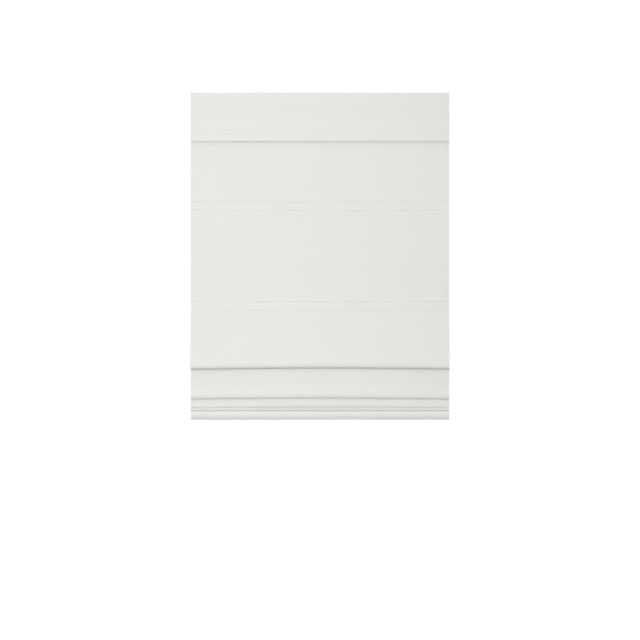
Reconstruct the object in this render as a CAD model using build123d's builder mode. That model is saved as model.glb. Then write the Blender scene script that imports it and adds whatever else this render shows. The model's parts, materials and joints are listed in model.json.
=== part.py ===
# Cordless roman blind with a fabric valance, partly raised.
# Millimetres. The origin is the middle of the brackets' mounting plane, under the window head.
# The front of the blind faces -Y, and +Z is up.
import os
from math import acos, cos, pi, radians, sin, sqrt, tan

from build123d import *

os.makedirs("parts", exist_ok=True)

# Cloth
shade_width = 736.6
cloth_thickness = 0.8
cloth_top_margin = 2.0
valance_top_drop = 1.0
valance_drop = 140.0
valance_hem = 30.0
valance_out = 9.0
valance_turn = 0.8
valance_flat = 4.0
valance_slope_end = 80.0
valance_bend = 60.0
first_drop = 325.5
section_drop = 284.8
raised = 168.1
stack_pitch = 31.0
fold_a_hang = 59.0
fold_b_hang = 113.5
fold_c_hang = 109.5
tail_drop = 144.6
hem_height = 24.0
fold_a_radius = 9.0
fold_b_radius = 4.0
fold_c_radius = 3.0
fold_gap = 1.6
fold_a_flat = 36.0
fold_a_upright = 36.7
fold_a_bend = 80.0
fold_a_top_turn = 3.0
fold_a_back_length = 57.0
fold_b_back_length = 44.0
fold_c_back_length = 30.0
fold_roll = 6.0
pocket_turn = 1.5
shelf = 2.2
shelf_fall = 1.1
shelf_bend = 0.9
soft_bend = 10.0
panel_bend = 300.0
panel_margin = 10.0
hem_shoulder = 2.0
hem_top_bend = 1.5
tail_gap = 0.15
tail_length = 5.0
full = 0.999

# Headrail
rail_inset = 4.3
rail_length = shade_width - 2 * rail_inset
rail_depth = 40.0
rail_height = 33.0
rail_wall = 1.2
rail_lip = 5.0
rail_corner = 2.0
end_cap_thickness = 2.5
end_cap_plug = 10.0
end_cap_wall = 1.6
end_cap_rounding = 0.8
tape_thickness = 1.6
tape_height = 20.0
tape_top_drop = 6.0
tape_inset = 2.0
tape_length = rail_length - 2 * tape_inset

# Brackets
bracket_inset = 64.0
bracket_spacing = rail_length - 2 * bracket_inset
bracket_screw_spacing = 18.0
bracket_screw_radius = 2.25
bracket_sheet = 1.2
bracket_corner = 3.0
bracket_gap = 1.7
bracket_side_short = 10.0
bracket_side_long = 22.0
bracket_front = 18.0
bracket_rear = 19.0
hook_width = 16.0
lever_thickness = 1.2
lever_offset = 12.0
lever_back = 5.0
lever_boss_radius = 4.5
lever_nose_gap = 1.3
lever_width = 8.0
lever_reach = 28.0
lever_pad_radius = 5.5
lever_pad_hole = 2.0
rivet_radius = 2.0
rivet_head_radius = 3.4
rivet_head = 1.0

# Spring motor and cords
gear_teeth = 18
gear_gap = 0.6
gear_thickness = 4.0
gear_backlash = 0.25
pressure_angle = 20.0
drum_height = 16.0
drum_flange = 1.0
flange_gap = 0.9
spool_winding_radius = 9.0
cord_radius = 0.7
storage_drum_radius = 7.0
output_drum_radius = 8.0
storage_coil = 4.7
output_coil = 1.9
spring_band = 0.4
axle_radius = 1.5
motor_wall = 1.6
motor_rib = 1.3
motor_rib_width = 2.0
motor_corner = 3.0
motor_chamfer = 0.5
motor_vent_length = 14.0
motor_vent_width = 5.0
motor_vent_rows = 19.2
axle_seat = 1.2
snap_width = 6.0
snap_thickness = 1.0
snap_gap = 0.15
snap_length = 9.0
snap_hook = 0.8
snap_hook_height = 2.0
cord_inset = 119.0
cord_spacing = rail_length - 2 * cord_inset
guide_length = 26.0
guide_height = 18.5
guide_floor = 2.0
guide_corner = 2.0
guide_pocket_corner = 1.5
guide_slot = 5.0
guide_pin_radius = 3.0
guide_pin_length = 12.0
eyelet_radius = 4.0
eyelet_wall = 1.3
eyelet_flange = 6.0
eyelet_flange_thickness = 1.2
eyelet_length = 3.0

# Battens, rings and bottom bar
batten_inset = 6.3
batten_length = shade_width - 2 * batten_inset
batten_height = 19.0
batten_thickness = 2.5
batten_corner = 0.8
pocket_height = 26.0
pocket_margin = 1.6
pocket_sheet = 0.5
pocket_inset = 2.0
pocket_step = 0.8
pocket_bend = 0.6
ring_radius = 4.2
ring_wire = 1.0
ring_offset = 0.4
ring_tab_width = 10.0
ring_tab_height = 12.0
ring_tab = 1.2
ring_tab_corner = 2.0
sewing_hole_radius = 0.6
sewing_hole_spacing = 8.0
bead_radius = 3.5
bead_height = 8.0
bead_bore = 1.2
bead_chamfer = 0.6
knot_radius = 1.8
bar_inset = 10.3
bar_length = shade_width - 2 * bar_inset
bar_height = 16.0
bar_thickness = 3.0
bar_corner = 0.6
bar_cap_wall = 0.7
bar_cap_length = 14.0
bar_cap_corner = 1.2

# Clearances
clearance = 0.3
running = 0.05
press = 0.02
overlap = 0.1

# Places that follow from the sizes
rail_top = -(bracket_sheet + bracket_gap)
rail_bottom = rail_top - rail_height
rail_floor = rail_bottom + rail_wall
rail_front = -rail_depth / 2
lip_under = rail_top - rail_wall
cloth_top_y = rail_front - tape_thickness - cloth_thickness / 2
pocket_bulge = 2 * clearance + batten_thickness
cord_y = -spool_winding_radius
ring_depth = cloth_thickness / 2 + pocket_sheet + pocket_bulge + ring_tab + ring_radius
column_y = cord_y + ring_offset - ring_depth
batten_1_y = (cloth_top_y + column_y) / 2
batten_3_drop = first_drop + 2 * section_drop - raised
batten_drops = [
    first_drop,
    first_drop + section_drop,
    batten_3_drop,
    batten_3_drop + stack_pitch,
    batten_3_drop + 2 * stack_pitch,
]
fold_a_drop = batten_drops[2] + fold_a_hang
fold_b_drop = batten_drops[3] + fold_b_hang
fold_c_drop = batten_drops[4] + fold_c_hang
hem_drop = batten_drops[4] + tail_drop
batten_planes = [batten_1_y, column_y, column_y, column_y, column_y]
cord_xs = [-cord_spacing / 2, cord_spacing / 2]
bracket_xs = [-bracket_spacing / 2, bracket_spacing / 2]
sides = ["left", "right"]

motor_width = rail_depth - 2 * (rail_wall + clearance + motor_rib)
addendum_radius = motor_width / 2 - motor_wall - gear_gap
gear_module = addendum_radius / (gear_teeth / 2 + 1)
pitch_radius = gear_module * gear_teeth / 2
flange_radius = pitch_radius - flange_gap
lever_nose = rail_depth / 2 - rail_wall - lever_nose_gap - lever_back
axle_xs = [(i - 1.5) * 2 * pitch_radius for i in range(4)]
motor_floor_top = rail_floor + motor_wall
gear_bottom = motor_floor_top + clearance
drum_bottom = gear_bottom + gear_thickness
drum_top = drum_bottom + drum_height
flange_top = drum_top + drum_flange
motor_top = flange_top + clearance + overlap
winding_height = drum_height - 2 * clearance
cord_z = (drum_bottom + drum_top) / 2
cord_bend = guide_pin_radius + clearance + cord_radius


def along_x(sketch, length):
    """A profile drawn in the YZ plane, run to both sides of the middle."""
    extrude(sketch, amount=length / 2, both=True)


# Headrail channel: a C section with its mouth up, and a hole in its floor for each cord
with BuildPart() as headrail_channel:
    with BuildSketch(Plane.YZ) as rail_section:
        with Locations((0, rail_top - rail_height / 2)):
            Rectangle(rail_depth, rail_height)
        low_corners = rail_section.vertices().group_by(Axis.Y)[0]
        fillet(low_corners, rail_corner)
        with Locations((0, rail_top - rail_height / 2)):
            Rectangle(rail_depth - 2 * rail_wall, rail_height - 2 * rail_wall, mode=Mode.SUBTRACT)
        with Locations((0, rail_top - rail_wall / 2)):
            Rectangle(rail_depth - 2 * (rail_lip + rail_wall), rail_wall, mode=Mode.SUBTRACT)
    along_x(rail_section.sketch, rail_length)
    with Locations(*[(x, cord_y, rail_floor) for x in cord_xs]):
        Hole(eyelet_radius + press, depth=2 * rail_wall)
headrail_channel.part.label = "headrail_channel"
export_step(headrail_channel.part, "parts/headrail_channel.step")


def end_cap(name, side):
    """A moulded cap: a face plate, and a hollow plug that fits inside the channel."""
    plug_width = rail_depth - 2 * (rail_wall + clearance)
    plug_bottom = rail_floor + clearance
    plug_height = lip_under - clearance - plug_bottom
    face = Plane.YZ.offset(side * rail_length / 2)
    with BuildPart() as cap:
        with BuildSketch(face):
            with Locations((0, rail_top - rail_height / 2)):
                RectangleRounded(rail_depth, rail_height, rail_corner)
        extrude(amount=side * end_cap_thickness)
        with BuildSketch(face):
            with Locations((0, plug_bottom + plug_height / 2)):
                Rectangle(plug_width, plug_height)
                Rectangle(
                    plug_width - 2 * end_cap_wall,
                    plug_height - 2 * end_cap_wall,
                    mode=Mode.SUBTRACT,
                )
        extrude(amount=-side * end_cap_plug)
        outer_rim = cap.faces().sort_by(Axis.X)[-1 if side > 0 else 0].edges()
        fillet(outer_rim, end_cap_rounding)
    cap.part.label = name
    export_step(cap.part, f"parts/{name}.step")


for name, side in zip(sides, (-1, 1)):
    end_cap(f"end_cap_{name}", side)


def bracket(name, x):
    """A pressed steel bracket: a flat plate, and a hook that holds the channel's front lip."""
    plate_middle = (bracket_side_long - bracket_side_short) / 2
    hook_y = rail_front + rail_wall + rail_lip + clearance
    foot_y = rail_front + rail_wall + clearance
    foot_bottom = lip_under - bracket_sheet
    with BuildPart() as plate:
        with BuildSketch(Plane.XY):
            with Locations((x + plate_middle, (bracket_rear - bracket_front) / 2)):
                RectangleRounded(
                    bracket_side_long + bracket_side_short,
                    bracket_front + bracket_rear,
                    bracket_corner,
                )
            with Locations((x, -bracket_screw_spacing / 2), (x, bracket_screw_spacing / 2)):
                Circle(bracket_screw_radius, mode=Mode.SUBTRACT)
        extrude(amount=-bracket_sheet)
        with BuildSketch(Plane.YZ.offset(x + lever_offset)) as hook:
            Polygon(
                (hook_y, -bracket_sheet / 2),
                (hook_y + bracket_sheet, -bracket_sheet / 2),
                (hook_y + bracket_sheet, foot_bottom),
                (foot_y, foot_bottom),
                (foot_y, lip_under),
                (hook_y, lip_under),
                align=None,
            )
            fillet(hook.vertices().group_by(Axis.Y)[0].sort_by(Axis.X)[-1], bracket_sheet * 0.9)
        extrude(amount=hook_width / 2, both=True)
        with Locations((x + lever_offset, lever_back, 0)):
            CounterBoreHole(
                rivet_radius + press,
                rivet_head_radius + press,
                bracket_sheet / 2,
                depth=bracket_sheet,
            )
    plate.part.label = name
    export_step(plate.part, f"parts/{name}.step")


def lever(name, x):
    """A swivel lever: a handle above the channel's lips, a boss, and a cam nose under the rear lip."""
    pivot_x = x + lever_offset
    handle_top = -bracket_sheet - (bracket_gap - lever_thickness) / 2
    cam_top = lip_under - clearance
    cam_bottom = cam_top - lever_thickness
    with BuildPart() as swivel:
        with BuildSketch(Plane.XY.offset(handle_top)):
            with Locations((pivot_x, lever_back)):
                Circle(lever_boss_radius)
            with Locations((pivot_x, lever_back + lever_reach / 2)):
                Rectangle(lever_width, lever_reach)
            with Locations((pivot_x, lever_back + lever_reach)):
                Circle(lever_pad_radius)
                Circle(lever_pad_hole, mode=Mode.SUBTRACT)
        extrude(amount=-lever_thickness)
        with BuildSketch(Plane.XY.offset(handle_top)):
            with Locations((pivot_x, lever_back)):
                Circle(lever_boss_radius)
        extrude(amount=cam_bottom - handle_top)
        with BuildSketch(Plane.XY.offset(cam_top)):
            with Locations((pivot_x, lever_back)):
                Circle(lever_boss_radius)
            with Locations((pivot_x, lever_back + lever_nose / 2)):
                Rectangle(lever_width, lever_nose)
        extrude(amount=-lever_thickness)
        with Locations((pivot_x, lever_back, handle_top)):
            Hole(rivet_radius + running, depth=handle_top - cam_bottom + press)
    swivel.part.label = name
    export_step(swivel.part, f"parts/{name}.step")


for name, x in zip(sides, bracket_xs):
    bracket(f"bracket_{name}", x)
    lever(f"lever_{name}", x)

# Rivets: a flush head in the plate, a shank, and a formed head under the lever
with BuildPart() as lever_rivets:
    rivet_low = lip_under - 2 * clearance - lever_thickness
    for x in bracket_xs:
        top_plane = Plane(origin=(x + lever_offset, lever_back, 0))
        low_plane = Plane(origin=(x + lever_offset, lever_back, rivet_low))
        with BuildSketch(top_plane):
            Circle(rivet_head_radius)
        extrude(amount=-bracket_sheet / 2)
        with BuildSketch(top_plane):
            Circle(rivet_radius)
        extrude(amount=rivet_low)
        with BuildSketch(low_plane):
            Circle(rivet_head_radius)
        extrude(amount=-rivet_head)
lever_rivets.part.label = "lever_rivets"
export_step(lever_rivets.part, "parts/lever_rivets.step")


def tape(name, front, back):
    """A hook-and-loop strip, flat on the rail's front."""
    with BuildPart() as strip:
        with BuildSketch(Plane.YZ) as strip_section:
            with Locations(((front + back) / 2, -tape_top_drop - tape_height / 2)):
                Rectangle(back - front, tape_height)
        along_x(strip_section.sketch, tape_length)
    strip.part.label = name
    export_step(strip.part, f"parts/{name}.step")


cloth_front_y = cloth_top_y - cloth_thickness / 2
valance_y = cloth_front_y - tape_thickness - cloth_thickness / 2
tape("shade_tape", cloth_top_y + cloth_thickness / 2, rail_front)
tape("valance_tape", valance_y + cloth_thickness / 2, cloth_front_y)


def cloth(name, points, radii, width):
    """One sheet of cloth: its middle line in the YZ plane, given its thickness and its width."""
    with BuildPart() as sheet:
        with BuildSketch(Plane.YZ) as section:
            with BuildLine() as line:
                FilletPolyline(*points, radius=radii)
            trace(line_width=cloth_thickness)
        along_x(section.sketch, width)
    sheet.part.label = name
    export_step(sheet.part, f"parts/{name}.step")
    print(name, "flat size", round(width, 1), "by", round(line.wires()[0].length, 1))
    return line.wires()[0]


# Valance: it hangs from its tape, stands clear of the shade cloth, and its hem is turned up behind
half_pocket = pocket_height / 2
half_cloth = cloth_thickness / 2
valance_front_y = valance_y - valance_out
valance_back_y = valance_front_y + 2 * valance_turn
valance_points = [
    (valance_y, -valance_top_drop),
    (valance_y, -tape_top_drop - tape_height - valance_flat),
    (valance_front_y, -valance_slope_end),
    (valance_front_y, -valance_drop + half_cloth),
    (valance_back_y, -valance_drop + half_cloth),
    (valance_back_y, -valance_drop + valance_hem),
]
valance_bends = [valance_bend, valance_bend, valance_turn * full, valance_turn * full]
cloth("valance", valance_points, valance_bends, shade_width)

# Shade cloth: flat down to the second batten, then fold A, folds B and C over the stacked battens,
# and a flat tail that ends in the hem's sleeve
hem_inside = bar_thickness + 2 * (bar_cap_wall + clearance)
hem_turn = (hem_inside + cloth_thickness) / 2
hem_back_y = column_y + 2 * hem_turn
tail_y = column_y + cloth_thickness + tail_gap
fold_c_back = column_y - cloth_thickness - fold_gap
fold_c_front = fold_c_back - 2 * fold_c_radius
fold_b_back = fold_c_front - fold_gap
fold_b_front = fold_b_back - 2 * fold_b_radius
fold_a_back = fold_b_front - fold_gap
fold_a_front = fold_a_back - 2 * fold_a_radius


def fold_leg(front_y, back_y, turn_drop, next_drop, top_turn, back_length, turn):
    """From the front of a fold round its bottom, up behind it and over the top of the next pocket."""
    over = next_drop - half_pocket - top_turn
    top_y = column_y - 2 * top_turn
    corners = [
        ((front_y, -turn_drop + half_cloth), turn),
        ((back_y, -turn_drop + half_cloth), turn),
        ((back_y, -over - back_length), soft_bend),
        ((top_y, -over - fold_roll * top_turn), soft_bend),
        ((top_y, -over), top_turn * full),
        ((column_y, -over), top_turn * full),
    ]
    return corners


def stacked_fold(start_drop, front_y, back_y, turn_drop, next_drop, back_length, turn):
    """A fold that starts in the narrow gap between two stacked pockets, and falls in front of them."""
    start = start_drop + half_pocket
    shelf_y = column_y - 2 * pocket_turn - shelf
    corners = [
        ((column_y, -start - half_cloth), shelf_bend),
        ((shelf_y, -start - half_cloth - shelf_fall), 2 * shelf_bend),
        ((front_y, -start - back_length), 2 * soft_bend),
    ]
    return corners + fold_leg(
        front_y, back_y, turn_drop, next_drop, pocket_turn, back_length, turn * full
    )


fold_a = [
    ((column_y, -batten_drops[1] - half_pocket - fold_a_flat), fold_a_bend),
    ((fold_a_front, -fold_a_drop + fold_a_upright), fold_a_bend),
    *fold_leg(
        fold_a_front, fold_a_back, fold_a_drop, batten_drops[2],
        fold_a_top_turn, fold_a_back_length, fold_a_radius * full,
    ),
]
fold_b = stacked_fold(
    batten_drops[2], fold_b_front, fold_b_back, fold_b_drop,
    batten_drops[3], fold_b_back_length, fold_b_radius,
)
fold_c = stacked_fold(
    batten_drops[3], fold_c_front, fold_c_back, fold_c_drop,
    batten_drops[4], fold_c_back_length, fold_c_radius,
)
hem = [
    ((column_y, -hem_drop + half_cloth), hem_turn * full),
    ((hem_back_y, -hem_drop + half_cloth), hem_turn * full),
    ((hem_back_y, -hem_drop + hem_height - hem_shoulder), hem_shoulder),
    ((tail_y, -hem_drop + hem_height), hem_top_bend),
]
panels = [
    ((cloth_top_y, rail_bottom - panel_margin), panel_bend),
    ((batten_1_y, -first_drop + half_pocket + panel_margin), panel_bend),
    ((batten_1_y, -first_drop - half_pocket - panel_margin), panel_bend),
    ((column_y, -batten_drops[1] + half_pocket + panel_margin), panel_bend),
]
corners = panels + fold_a + fold_b + fold_c + hem
shade_points = [
    (cloth_top_y, -tape_top_drop + cloth_top_margin),
    *[point for point, bend in corners],
    (tail_y, -hem_drop + hem_height + tail_length),
]
cloth("shade_fabric", shade_points, [bend for point, bend in corners], shade_width)


def batten_set(number, y, drop):
    """One batten: the stiff strip, the pocket strip sewn behind the cloth, and its two cord rings."""
    sewn_y = y + half_cloth + pocket_sheet / 2
    back_y = sewn_y + pocket_bulge
    margin_z = half_pocket - pocket_margin
    step_z = margin_z - pocket_step
    pocket_line = [
        (sewn_y, half_pocket),
        (sewn_y, margin_z),
        (back_y, step_z),
        (back_y, -step_z),
        (sewn_y, -margin_z),
        (sewn_y, -half_pocket),
    ]
    with BuildPart() as pocket:
        with BuildSketch(Plane.YZ) as pocket_section:
            with BuildLine():
                FilletPolyline(*[(py, pz - drop) for py, pz in pocket_line], radius=pocket_bend)
            trace(line_width=pocket_sheet)
        along_x(pocket_section.sketch, shade_width - 2 * pocket_inset)
    pocket.part.label = f"batten_pocket_{number}"
    export_step(pocket.part, f"parts/batten_pocket_{number}.step")

    strip_y = y + half_cloth + clearance + batten_thickness / 2
    with BuildPart() as strip:
        with BuildSketch(Plane.YZ) as strip_section:
            with Locations((strip_y, -drop)):
                RectangleRounded(batten_thickness, batten_height, batten_corner)
        along_x(strip_section.sketch, batten_length)
    strip.part.label = f"batten_{number}"
    export_step(strip.part, f"parts/batten_{number}.step")

    tab_y = back_y + pocket_sheet / 2
    ring_y = tab_y + ring_tab + ring_radius
    with BuildPart() as rings:
        for x in cord_xs:
            ring_plane = Plane(origin=(x, ring_y, -drop), x_dir=(1, 0, 0), z_dir=(0, -1, 0))
            with BuildSketch(ring_plane):
                with Locations((ring_radius, 0)):
                    Circle(ring_wire)
            revolve(axis=Axis((x, ring_y, 0), (0, 0, 1)))
            with BuildSketch(Plane(origin=(x, tab_y, -drop), x_dir=(1, 0, 0), z_dir=(0, 1, 0))):
                RectangleRounded(ring_tab_width, ring_tab_height, ring_tab_corner)
                with GridLocations(0, sewing_hole_spacing, 1, 2):
                    Circle(sewing_hole_radius, mode=Mode.SUBTRACT)
            extrude(amount=ring_tab)
    rings.part.label = f"cord_rings_{number}"
    export_step(rings.part, f"parts/cord_rings_{number}.step")


for number, (y, drop) in enumerate(zip(batten_planes, batten_drops), start=1):
    batten_set(number, y, drop)

# Bottom bar: a flat steel bar in the hem, with a moulded cap pushed on each end
bar_y = column_y + half_cloth + clearance + bar_cap_wall + bar_thickness / 2
bar_middle_z = -hem_drop + half_cloth + hem_turn + bar_height / 2
with BuildPart() as bottom_bar:
    with BuildSketch(Plane.YZ) as bar_section:
        with Locations((bar_y, bar_middle_z)):
            RectangleRounded(bar_thickness, bar_height, bar_corner)
    along_x(bar_section.sketch, bar_length)
bottom_bar.part.label = "bottom_bar"
export_step(bottom_bar.part, "parts/bottom_bar.step")


def bar_cap(name, side):
    """A blind sleeve over one end of the bar."""
    end_plane = Plane.YZ.offset(side * (bar_length / 2 + bar_cap_wall))
    with BuildPart() as cap:
        with BuildSketch(end_plane):
            with Locations((bar_y, bar_middle_z)):
                RectangleRounded(
                    bar_thickness + 2 * bar_cap_wall,
                    bar_height + 2 * bar_cap_wall,
                    bar_cap_corner,
                )
        extrude(amount=-side * bar_cap_length)
        with BuildSketch(Plane.YZ.offset(side * bar_length / 2)):
            with Locations((bar_y, bar_middle_z)):
                RectangleRounded(bar_thickness + 2 * press, bar_height + 2 * press, bar_corner)
        extrude(amount=-side * bar_cap_length, mode=Mode.SUBTRACT)
    cap.part.label = name
    export_step(cap.part, f"parts/{name}.step")


for name, side in zip(sides, (-1, 1)):
    bar_cap(f"bar_cap_{name}", side)

# Cord beads: each cord ends in a knot under a bead that bears on the lowest ring
bead_top = -batten_drops[4] - ring_wire - clearance
bead_bottom = bead_top - bead_height
with BuildPart() as cord_beads:
    for x in cord_xs:
        with BuildSketch(Plane(origin=(x, cord_y, bead_top))):
            Circle(bead_radius)
            Circle(bead_bore, mode=Mode.SUBTRACT)
        extrude(amount=-bead_height)
    chamfer(cord_beads.edges().filter_by(GeomType.CIRCLE).group_by(Axis.Z)[0], bead_chamfer)
cord_beads.part.label = "cord_beads"
export_step(cord_beads.part, "parts/cord_beads.step")


def lift_cord(name, axle_x, cord_x):
    """The turns on the spool, the run to the guide pin, the drop through the rings, and the knot."""
    side = 1 if cord_x > 0 else -1
    knot_z = bead_bottom - clearance - knot_radius
    with BuildPart() as cord:
        with BuildSketch(Plane(origin=(axle_x, 0, cord_z - winding_height / 2))):
            Circle(spool_winding_radius + cord_radius)
            Circle(spool_winding_radius - cord_radius, mode=Mode.SUBTRACT)
        extrude(amount=winding_height)
        with BuildLine() as route:
            FilletPolyline(
                (axle_x, cord_y, cord_z),
                (cord_x, cord_y, cord_z),
                (cord_x, cord_y, knot_z),
                radius=cord_bend,
            )
        with BuildSketch(Plane(origin=(axle_x, cord_y, cord_z), z_dir=(side, 0, 0))):
            Circle(cord_radius)
        sweep()
        knot_plane = Plane(origin=(cord_x, cord_y, knot_z), x_dir=(1, 0, 0), z_dir=(0, -1, 0))
        with BuildSketch(knot_plane):
            with BuildLine():
                Line((0, -knot_radius), (0, knot_radius))
                CenterArc((0, 0), knot_radius, -90, 180)
            make_face()
        revolve(axis=Axis((cord_x, cord_y, 0), (0, 0, 1)))
    cord.part.label = name
    export_step(cord.part, f"parts/{name}.step")
    print(name, "length past the spool", round(route.wires()[0].length, 1))


for name, axle_x, cord_x in zip(sides, (axle_xs[0], axle_xs[3]), cord_xs):
    lift_cord(f"lift_cord_{name}", axle_x, cord_x)

# Gear outline: involute flanks above the base circle and radial flanks below it
root_radius = pitch_radius - 1.25 * gear_module
base_radius = pitch_radius * cos(radians(pressure_angle))


def involute(angle):
    return tan(angle) - angle


def flank_point(radius, side):
    """The point of a tooth's flank at this radius, for a tooth along the X axis."""
    tooth = (pi * gear_module - gear_backlash) / (2 * pitch_radius)
    roll = involute(acos(min(1.0, base_radius / radius))) if radius > base_radius else 0.0
    half = tooth / 2 + involute(radians(pressure_angle)) - roll
    return (radius * cos(half), side * radius * sin(half))


with BuildSketch() as tooth:
    flank_radii = [base_radius + (addendum_radius - base_radius) * t for t in (0, 0.33, 0.67, 1)]
    with BuildLine():
        Spline(*[flank_point(r, 1) for r in flank_radii])
        Spline(*[flank_point(r, -1) for r in flank_radii])
        Line(flank_point(addendum_radius, 1), flank_point(addendum_radius, -1))
        Polyline(
            flank_point(base_radius, 1),
            (root_radius - 0.4, flank_point(base_radius, 1)[1]),
            (root_radius - 0.4, flank_point(base_radius, -1)[1]),
            flank_point(base_radius, -1),
        )
    make_face()


def geared_drum(name, index, hub_radius):
    """A moulded drum with a gear at its foot and a thin flange on top, bored for its axle."""
    x = axle_xs[index]
    phase = (index % 2) * 180 / gear_teeth
    with BuildPart() as drum:
        with BuildSketch(Plane(origin=(x, 0, gear_bottom))):
            Circle(root_radius)
            with PolarLocations(0, gear_teeth, start_angle=phase):
                add(tooth.sketch)
            Circle(axle_radius + running, mode=Mode.SUBTRACT)
        extrude(amount=gear_thickness)
        with BuildSketch(Plane(origin=(x, 0, drum_bottom))):
            Circle(hub_radius)
            Circle(axle_radius + running, mode=Mode.SUBTRACT)
        extrude(amount=drum_height)
        with BuildSketch(Plane(origin=(x, 0, drum_top))):
            Circle(flange_radius)
            Circle(axle_radius + running, mode=Mode.SUBTRACT)
        extrude(amount=drum_flange)
    drum.part.label = name
    export_step(drum.part, f"parts/{name}.step")


spool_hub = spool_winding_radius - cord_radius - clearance
geared_drum("cord_spool_left", 0, spool_hub)
geared_drum("spring_drum_storage", 1, storage_drum_radius)
geared_drum("spring_drum_output", 2, output_drum_radius)
geared_drum("cord_spool_right", 3, spool_hub)

# Flat spring: the coils on both drums, and the band that crosses between them
storage_out = storage_drum_radius + clearance + storage_coil
output_out = output_drum_radius + clearance + output_coil
with BuildPart() as flat_spring:
    tangent_1 = storage_out - spring_band / 2
    tangent_2 = output_out - spring_band / 2
    drum_distance = 2 * pitch_radius
    cross = acos((tangent_1 + tangent_2) / drum_distance)
    band_length = sqrt(drum_distance**2 - (tangent_1 + tangent_2) ** 2)
    near = (axle_xs[1] + tangent_1 * cos(cross), tangent_1 * sin(cross))
    far = (axle_xs[2] - tangent_2 * cos(cross), -tangent_2 * sin(cross))
    with BuildSketch(Plane.XY.offset(cord_z - winding_height / 2)):
        with Locations((axle_xs[1], 0)):
            Circle(storage_out)
        with Locations((axle_xs[2], 0)):
            Circle(output_out)
        with BuildLine():
            Line(near, far)
        trace(line_width=spring_band)
        with Locations((axle_xs[1], 0)):
            Circle(storage_drum_radius + clearance, mode=Mode.SUBTRACT)
        with Locations((axle_xs[2], 0)):
            Circle(output_drum_radius + clearance, mode=Mode.SUBTRACT)
    extrude(amount=winding_height)
flat_spring.part.label = "flat_spring"
export_step(flat_spring.part, "parts/flat_spring.step")

# Motor housing: a tray that stands on the rail's floor, its axles, and a cover that snaps on
motor_length = axle_xs[3] - axle_xs[0] + motor_width
motor_cover_top = motor_top + motor_wall
snap_in = motor_width / 2 + snap_gap
snap_out = snap_in + snap_thickness
snap_low = motor_top - snap_length
snap_high = snap_low + snap_hook_height
with BuildPart() as motor_base:
    with BuildSketch(Plane.XY.offset(rail_floor)):
        RectangleRounded(motor_length, motor_width, motor_corner)
    extrude(amount=motor_top - rail_floor)
    with BuildSketch(Plane.XY.offset(motor_floor_top)):
        RectangleRounded(
            motor_length - 2 * motor_wall, motor_width - 2 * motor_wall, motor_corner - motor_wall
        )
    extrude(amount=motor_top - motor_floor_top, mode=Mode.SUBTRACT)
    with BuildSketch(Plane.XY.offset(rail_floor)):
        with GridLocations(2 * pitch_radius, motor_width + motor_rib - 2 * overlap, 4, 2):
            Rectangle(motor_rib_width, motor_rib + 2 * overlap)
    extrude(amount=motor_top - rail_floor)
    with BuildSketch(Plane.XY.offset(drum_bottom)):
        with Locations((-motor_length / 2, cord_y), (motor_length / 2, cord_y)):
            Rectangle(4 * motor_wall, guide_slot)
    extrude(amount=motor_top - drum_bottom, mode=Mode.SUBTRACT)
    with BuildSketch(Plane.XY.offset(snap_low - clearance)):
        with GridLocations(2 * pitch_radius, motor_width, 3, 2):
            Rectangle(snap_width + 2 * clearance, 4 * motor_wall)
    extrude(amount=snap_hook_height + clearance + overlap, mode=Mode.SUBTRACT)
    with Locations(*[(x, 0, motor_floor_top) for x in axle_xs]):
        Hole(axle_radius + press, depth=axle_seat)
motor_base.part.label = "motor_base"
export_step(motor_base.part, "parts/motor_base.step")

with BuildPart() as motor_cover:
    with BuildSketch(Plane.XY.offset(motor_top)):
        RectangleRounded(motor_length, motor_width, motor_corner)
        with Locations(*[(x, 0) for x in axle_xs]):
            Circle(axle_radius + press, mode=Mode.SUBTRACT)
        with GridLocations(2 * pitch_radius, motor_vent_rows, 3, 2):
            SlotOverall(motor_vent_length, motor_vent_width, mode=Mode.SUBTRACT)
    extrude(amount=motor_wall)
    chamfer(motor_cover.faces().sort_by(Axis.Z)[-1].outer_wire().edges(), motor_chamfer)
    for x in (-2 * pitch_radius, 0, 2 * pitch_radius):
        for side in (-1, 1):
            with BuildSketch(Plane.YZ.offset(x)):
                Polygon(
                    (side * (motor_width / 2 - motor_wall), motor_top),
                    (side * snap_in, motor_top),
                    (side * snap_in, snap_high),
                    (side * (snap_in - snap_hook), snap_high),
                    (side * (snap_in - snap_hook), (snap_low + snap_high) / 2),
                    (side * snap_in, snap_low),
                    (side * snap_out, snap_low),
                    (side * snap_out, motor_cover_top - motor_chamfer),
                    (side * (motor_width / 2 - motor_wall), motor_cover_top - motor_chamfer),
                    align=None,
                )
            extrude(amount=snap_width / 2, both=True)
motor_cover.part.label = "motor_cover"
export_step(motor_cover.part, "parts/motor_cover.step")

with BuildPart() as drum_axles:
    with BuildSketch(Plane.XY.offset(motor_floor_top - axle_seat)):
        with Locations(*[(x, 0) for x in axle_xs]):
            Circle(axle_radius)
    extrude(amount=motor_cover_top - motor_floor_top + axle_seat)
drum_axles.part.label = "drum_axles"
export_step(drum_axles.part, "parts/drum_axles.step")


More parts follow.
